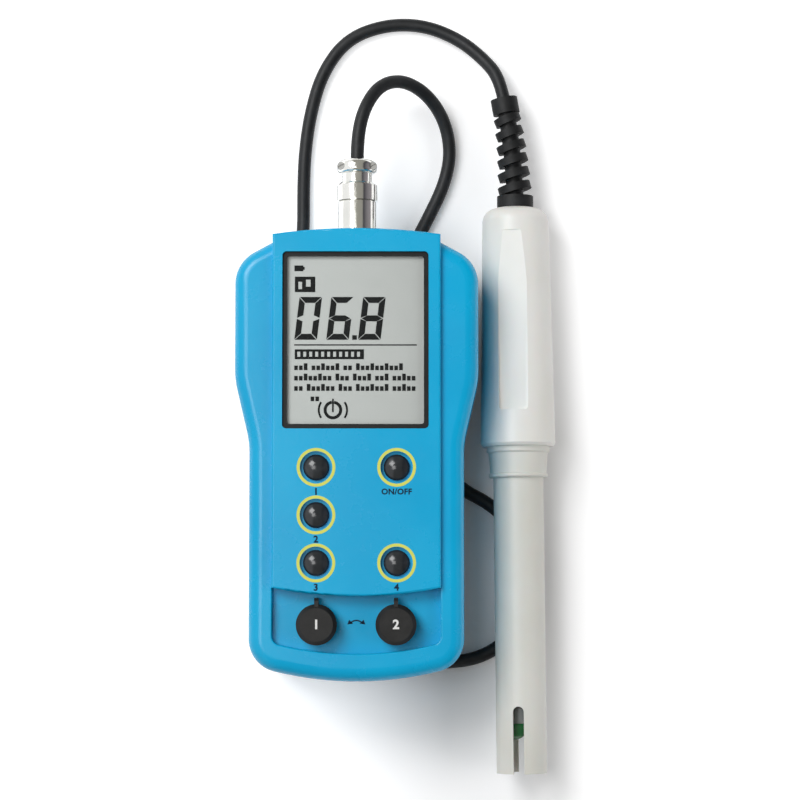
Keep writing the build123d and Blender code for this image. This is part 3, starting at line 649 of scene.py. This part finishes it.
def letterBlocks(x, base, counts):
    # Rows of small blocks that stand for words of so many letters each
    rows, place = [], 0
    for count in counts:
        for i in range(count):
            place += 1
            rise = displaySet["xHeight"] + (displaySet["ascender"] if place % 3 == 0 else 0)
            rows.append(boxOutline(x, base - rise, displaySet["letterWidth"], rise))
            x += displaySet["letterPitch"]
        x += displaySet["wordGap"]
    return rows


def boxOutline(x, y, width, height):
    return [(x, y), (x + width, y), (x + width, y + height), (x, y + height)]


def arcBand(x, y, inner, outer, start, end, steps=18):
    points = []
    for radius, order in ((inner, range(steps + 1)), (outer, range(steps, -1, -1))):
        for i in order:
            angle = math.radians(start + (end - start) * i / steps)
            points.append((x + radius * math.cos(angle), y + radius * math.sin(angle)))
    return points


wordRows = {
    # Foot of each row in millimetres from the display's top, and letters in each word
    37.0: (3, 6, 2, 10),
    40.4: (8, 3, 4, 3, 5),
    43.8: (2, 6, 3, 7, 5),
}


def knobSign():
    x, y = displaySet["knobAt"]
    inner, outer = displaySet["knobRing"]
    opening = 8  # degrees left open in the ring, under the pointer's top
    rows = [
        arcBand(x, y, inner, outer, opening - 90, 90, steps=24),
        arcBand(x, y, inner, outer, 90, 270 - opening, steps=24),
    ]
    width, rise, length = displaySet["knobPointer"]
    rows.append(boxOutline(x - width / 2, y - rise, width, length))
    inner, outer, half = displaySet["knobBracket"]
    for middle in (0, 180):
        rows.append(arcBand(x, y, inner, outer, middle - half, middle + half))
    return rows


def buildDisplay():
    low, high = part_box("lcd_glass")
    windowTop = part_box("display_window")[1].z
    unit = displaySet["unit"] * mm
    left = (low.x + high.x) / 2 - displaySet["originLeft"] * mm
    top = (low.y + high.y) / 2 + displaySet["originUp"] * mm
    pieces = []
    slant = displaySet["slant"]
    for figure, start in zip(displaySet["reading"].replace(".", ""), displaySet["digitLefts"]):
        for outline in figureOutlines(figure, start, displaySet["digitTop"]):
            foot = displaySet["digitTop"] + displaySet["digitHeight"]
            pieces.append([(x + (foot - y) * slant, y) for x, y in outline])
    size = displaySet["pointSize"]
    pieces.append(boxOutline(*displaySet["pointAt"], size, size))
    pieces += [boxOutline(*box) for box in displaySet["darkBoxes"]]
    for base, counts in wordRows.items():
        pieces += letterBlocks(displaySet["textLeft"], base, counts)
    pieces += letterBlocks(*displaySet["smallWord"])
    pieces += knobSign()
    placed = [[(left + x * unit, top - y * unit) for x, y in outline] for outline in pieces]
    base = high.z + displaySet["segmentLift"] * mm
    mesh = slabMesh("displaySegments", placed, base, base + displaySet["segmentDepth"] * mm)
    addPiece("displaySegments", mesh, "segment")
    lights = [boxOutline(*box) for box in displaySet["paleBoxes"]]
    row = displaySet["titleRow"]
    for i in range(row["count"]):
        x = row["left"] + row["pitch"] * i
        lights.append(boxOutline(x, row["top"], row["width"], row["height"]))
    placed = [[(left + x * unit, top - y * unit) for x, y in outline] for outline in lights]
    base += displaySet["segmentDepth"] * mm
    mesh = slabMesh("displayLightBlocks", placed, base, base + displaySet["paleDepth"] * mm)
    addPiece("displayLightBlocks", mesh, "lcd")
    windowLow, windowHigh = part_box("display_window")
    base = high.z + displaySet["windowGap"] * mm
    outline = roundedOutline(windowLow.xy, windowHigh.xy, displaySet["paneCorner"] * mm)
    mesh = slabMesh("displayWindowPane", [outline], base, windowTop)
    pane = addPiece("displayWindowPane", mesh, "window")
    pane.visible_shadow = False
    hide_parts("display_window")


buildDisplay()
print("display built")

printSet = {
    "lift": 0.02,
    "depth": 0.04,
    "bolder": 0.035,
    "spread": 1.08,
}

buttonSet = {
    "ringInner": 5.4,
    "ringOuter": 6.4,
    "ringHeight": 0.06,
    "labelDrop": 8.1,
    # Word and letter size below each button
    "labels": {
        "button_upper_left": ("1", 3.1),
        "button_middle_left": ("2", 3.1),
        "button_lower_left": ("3", 3.1),
        "button_upper_right": ("ON/OFF", 2.6),
        "button_lower_right": ("4", 3.1),
    },
}


def nodeMiddle(name):
    low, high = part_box(name)
    return (low + high) / 2


def wordPiece(name, text, middle, size, finish, body):
    data = bpy.data.curves.new(name, "FONT")
    data.body = text
    data.size = size
    data.align_x = "CENTER"
    data.align_y = "CENTER"
    data.extrude = printSet["depth"] * mm / 2
    data.offset = size * printSet["bolder"]
    data.space_character = printSet["spread"]
    word = bpy.data.objects.new(name, data)
    bpy.context.scene.collection.objects.link(word)
    bpy.context.view_layer.update()
    graph = bpy.context.evaluated_depsgraph_get()
    mesh = bpy.data.meshes.new_from_object(word.evaluated_get(graph))
    mesh.transform(Matrix.Translation(middle))
    bpy.data.objects.remove(word)
    mesh.name = name
    mesh.materials.clear()
    return addPiece(name, mesh, finish, body)


def printButtons():
    middles = [nodeMiddle(name) for name in buttonSet["labels"]]
    low = panelZ
    high = panelZ + buttonSet["ringHeight"] * mm
    inner, outer = buttonSet["ringInner"] * mm, buttonSet["ringOuter"] * mm
    mesh = ringMesh("buttonRings", middles, inner, outer, low, high)
    addPiece("buttonRings", mesh, "ring")
    for name, (text, size) in buttonSet["labels"].items():
        middle = nodeMiddle(name)
        drop, lift = buttonSet["labelDrop"] * mm, printSet["lift"] * mm
        spot = Vector((middle.x, middle.y - drop, panelZ + lift))
        wordPiece("label_" + name, text, spot, size * mm, "ink", "meter")


printButtons()

knobSet = {
    "markSize": 4.2,
    "marks": {"left_knob": "1", "right_knob": "2"},
    # The turning sign between the knobs: an arc, and the corners of its right arrow head
    "arcDrop": 1.2,
    "arc": (2.3, 2.75, 35, 145),
    "arrow": ((3.0, 0.0), (2.4, 1.6), (1.1, 0.25)),
}


def markKnobs():
    for name, text in knobSet["marks"].items():
        low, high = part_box(name)
        shaftMiddle = nodeMiddle(name + "_shaft")
        spot = Vector((shaftMiddle.x, shaftMiddle.y, high.z + printSet["lift"] * mm))
        size = knobSet["markSize"] * mm
        wordPiece("mark_" + name, text, spot, size, "mark", name + "_body")
    lefts, rights = nodeMiddle("left_knob_shaft"), nodeMiddle("right_knob_shaft")
    middle = (lefts + rights) / 2
    x, y = middle.x / mm, middle.y / mm
    outlines = [arcBand(x, y - knobSet["arcDrop"], *knobSet["arc"])]
    outlines.append([(x - a, y + b) for a, b in reversed(knobSet["arrow"])])
    outlines.append([(x + a, y + b) for a, b in knobSet["arrow"]])
    placed = [[(a * mm, b * mm) for a, b in outline] for outline in outlines]
    mesh = slabMesh("turnMark", placed, pocketZ, pocketZ + printSet["depth"] * mm)
    addPiece("turnMark", mesh, "ink")


markKnobs()
print("prints and marks made")

lightSet = {
    "key": {"at": (-0.55, 0.50, 0.95), "size": 0.55, "power": 8.6},
    "sheen": {"at": (-0.30, 0.0, 1.0), "size": 0.36, "power": 2.2},
    "fill": {"at": (0.95, -0.15, 0.52), "size": 0.7, "power": 4.6},
    "roomSeen": 1.0,
    "roomGiven": 0.31,
    # Share of the way from the left of the room to its right, and the colour there
    "room": (
        (0.0, (1.0, 1.0, 1.0)),
        (0.30, (1.0, 1.0, 1.0)),
        (0.37, (0.36, 0.35, 0.31)),
        (0.76, (0.33, 0.32, 0.29)),
        (0.81, (0.05, 0.05, 0.06)),
        (1.0, (0.30, 0.28, 0.30)),
    ),
    "floorReach": 3.0,
    "floorWhite": (246, 246, 247),
    "floorGrey": (240, 240, 242),
    # The paper is seen whiter away from this spot between meter and probe, by a painted glow that is weakest
    # here and so leaves a painted shade in the gap
    "shadeAt": (43.0, -25.0, 0.0),
    "shadeStretch": (1.0, 0.3, 1.0),
    "shadeReach": (0.014, 0.065),
    "paintedGlowLevels": (0.03, 0.42),
}


def buildLights():
    for name in ("key", "sheen", "fill"):
        values = lightSet[name]
        data = bpy.data.lights.new(name, "AREA")
        data.size = values["size"]
        data.energy = values["power"]
        lamp = bpy.data.objects.new(name, data)
        bpy.context.scene.collection.objects.link(lamp)
        lamp.location = values["at"]
        towards = -Vector(values["at"])
        lamp.rotation_euler = towards.to_track_quat("-Z", "Y").to_euler()
        lamp.visible_glossy = name != "fill"  # the fill shows in no mirror
    world = bpy.data.worlds.new("studio")
    bpy.context.scene.world = world
    room = Sheet(world)
    where = room.node("ShaderNodeTexCoord", {}, {}, output="Generated")
    across = room.node("ShaderNodeSeparateXYZ", {}, {0: where}, output="X") * 0.5 + 0.5
    stops = [(at, (*colour, 1.0)) for at, colour in lightSet["room"]]
    colour = room.node("ShaderNodeValToRGB", {"stops": stops}, {0: across})
    camera = room.node("ShaderNodeLightPath", {}, {}, output="Is Camera Ray")
    colour = room.blend(camera, colour, (1.0, 1.0, 1.0, 1.0))  # the backdrop is plain white
    mask = room.seen()
    strength = lightSet["roomGiven"] * (1 - mask) + lightSet["roomSeen"] * mask
    ground = room.tree.nodes["Background"]
    room.tree.links.new(colour.socket, ground.inputs["Color"])
    room.tree.links.new(strength.socket, ground.inputs["Strength"])


def buildFloor():
    make = Finish("paperFloor", Roughness=0.85, Specular_IOR_Level=0.1)
    cloud = make.noise(3, detail=2)
    white, grey = shade(*lightSet["floorWhite"]), shade(*lightSet["floorGrey"])
    make.feed("Base Color", make.blend(cloud * 0.2, white, grey))
    stretch = Vector(lightSet["shadeStretch"])
    where = make.node("ShaderNodeMapping", {}, {"Vector": make.place(), "Scale": stretch})
    values = {0: where, 1: atMeter(*lightSet["shadeAt"]) * stretch}
    away = make.node("ShaderNodeVectorMath", {"operation": "DISTANCE"}, values, output="Value")
    # Painted glow on the paper, rising away from the spot, paints the floor white and leaves a painted shade
    # between meter and probe
    lift = make.between(away, *lightSet["shadeReach"], *lightSet["paintedGlowLevels"])
    paintedGlow = make.node("ShaderNodeEmission", {}, {"Color": (1, 1, 1, 1), "Strength": lift * make.seen()})
    both = make.node("ShaderNodeAddShader", {}, {0: Wire(make, make.shader.outputs[0]), 1: paintedGlow})
    make.tree.links.new(both.socket, make.tree.nodes["Material Output"].inputs["Surface"])
    mesh = bpy.data.meshes.new("paperFloor")
    reach = lightSet["floorReach"]
    mesh.from_pydata(
        [(-reach, -reach, 0), (reach, -reach, 0), (reach, reach, 0), (-reach, reach, 0)],
        [],
        [(0, 1, 2, 3)],
    )
    mesh.materials.append(make.material)
    floor = bpy.data.objects.new("paperFloor", mesh)
    bpy.context.scene.collection.objects.link(floor)


buildLights()
buildFloor()
bpy.context.scene.view_settings.view_transform = "Standard"
print("stage and lights built")
